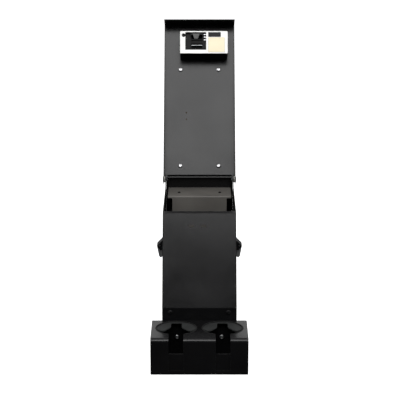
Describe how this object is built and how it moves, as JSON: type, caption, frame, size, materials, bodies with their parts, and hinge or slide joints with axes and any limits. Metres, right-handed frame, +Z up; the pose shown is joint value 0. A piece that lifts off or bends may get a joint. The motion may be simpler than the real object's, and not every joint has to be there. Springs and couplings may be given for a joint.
{
  "type": "ticket printer console",
  "caption": "Narrow folded-steel ticket printer console with a hinged tray lid, armrest pad, sloping front, open bin, side strap loops and a double cup holder.",
  "frame": {"origin": "middle of the cabinet's underside", "axes": "+Z up, -Y towards the user, +X to the user's right; the lid is open"},
  "size_m": [0.2286, 0.737, 0.7495],
  "materials": {
    "black_paint": "black powder coat, fine texture, semi-gloss",
    "grey_paint": "warm grey powder coat",
    "dark_plastic": "black moulded plastic",
    "grey_plastic": "grey moulded plastic",
    "white_plastic": "white moulded plastic, satin",
    "cream_plastic": "cream moulded plastic",
    "black_window": "glossy black window",
    "bright_steel": "bright zinc-plated steel",
    "steel": "plain steel",
    "cast_zinc": "die-cast, dull grey",
    "black_rubber": "black rubber",
    "grey_rubber": "dark grey rubber sheet",
    "pad_vinyl": "black grained vinyl",
    "plywood": "birch plywood",
    "paper": "thermal paper",
    "nylon": "natural nylon",
    "board_green": "solder mask"
  },
  "bodies": {
    "console": {"front_panel": "black_paint", "back_panel": "black_paint", "base_plate": "black_paint", "side_panel_left": "black_paint", "side_panel_right": "black_paint", "front_screw_left": "black_paint", "front_screw_right": "black_paint", "cup_cover": "black_paint", "cup_tray": "black_paint", "cup_side_left": "black_paint", "cup_side_right": "black_paint", "inner_shelf": "grey_paint", "cable_gland": "dark_plastic", "shelf_screw_left": "dark_plastic", "shelf_screw_right": "dark_plastic", "strap_block_left": "dark_plastic", "strap_block_right": "dark_plastic", "cup_screw_left": "bright_steel", "cup_screw_right": "bright_steel", "power_supply": "dark_plastic", "hinge_screw_left": "steel", "hinge_screw_right": "steel", "hinge_nut_left": "steel", "hinge_nut_right": "steel", "strap_pin_left": "steel", "strap_pin_right": "steel", "cup_trim_left": "black_rubber", "cup_trim_right": "black_rubber", "cup_liner_left": "grey_rubber", "cup_liner_right": "grey_rubber", "hinge_spacer_left": "nylon", "hinge_spacer_right": "nylon", "control_board": "board_green"},
    "lid": {"lid_shell": "black_paint", "pad_board": "plywood", "armrest_pad": "pad_vinyl", "pad_screw_lower_left": "bright_steel", "pad_screw_lower_right": "bright_steel", "pad_screw_upper_left": "bright_steel", "pad_screw_upper_right": "bright_steel", "printer_case": "dark_plastic", "printer_face": "white_plastic", "mechanism_frame": "dark_plastic", "feed_motor": "steel", "print_head": "dark_plastic", "head_spring": "bright_steel", "tear_bar": "steel", "display_window": "black_window"},
    "platen": {"platen_roller": "black_rubber", "platen_gear": "nylon"},
    "idler": {"idler_gear": "nylon"},
    "pinion": {"drive_pinion": "bright_steel"},
    "roll": {"paper_roll": "paper", "roll_spindle": "dark_plastic"},
    "lever": {"release_lever": "grey_plastic"},
    "door": {"paper_door": "cream_plastic"},
    "button": {"feed_button": "dark_plastic"},
    "bail_left": {"strap_bail_left": "cast_zinc"},
    "bail_right": {"strap_bail_right": "cast_zinc"}
  },
  "joints": [
    {"name": "lid_hinge", "type": "hinge", "parent": "console", "child": "lid", "pos_m": [0, 0.187, 0.347], "axis": [1, 0, 0], "range_deg": [0, 116.4]},
    {"name": "strap_left_swing", "type": "hinge", "parent": "console", "child": "bail_left", "pos_m": [-0.1, -0.02, 0.2285], "axis": [0, 1, 0], "range_deg": [0, 90]},
    {"name": "strap_right_swing", "type": "hinge", "parent": "console", "child": "bail_right", "pos_m": [0.1, -0.02, 0.2285], "axis": [0, -1, 0], "range_deg": [0, 90]},
    {"name": "platen_spin", "type": "hinge", "parent": "lid", "child": "platen", "pos_m": [0, 0.33852, 0.68822], "axis": [1, 0, 0], "continuous": true},
    {"name": "idler_spin", "type": "hinge", "parent": "lid", "child": "idler", "pos_m": [0, 0.35334, 0.68086], "axis": [1, 0, 0], "continuous": true},
    {"name": "pinion_spin", "type": "hinge", "parent": "lid", "child": "pinion", "pos_m": [0, 0.3644, 0.67536], "axis": [1, 0, 0], "continuous": true},
    {"name": "roll_spin", "type": "hinge", "parent": "lid", "child": "roll", "pos_m": [0, 0.34706, 0.67393], "axis": [1, 0, 0], "continuous": true},
    {"name": "release_lever_swing", "type": "hinge", "parent": "lid", "child": "lever", "pos_m": [0, 0.34449, 0.71149], "axis": [-1, 0, 0], "range_deg": [0, 45]},
    {"name": "paper_door_swing", "type": "hinge", "parent": "lid", "child": "door", "pos_m": [0, 0.31648, 0.66789], "axis": [1, 0, 0], "range_deg": [0, 100]},
    {"name": "feed_button_press", "type": "slide", "parent": "lid", "child": "button", "axis": [0, 0.8957, -0.4446], "range_m": [0, 0.0015], "stiffness_N_per_m": 300, "springref_m": -0.001}
  ],
  "couplings": [
    {"joint": "idler_spin", "follows": "platen_spin", "ratio": -1.0909},
    {"joint": "pinion_spin", "follows": "platen_spin", "ratio": 2}
  ]
}
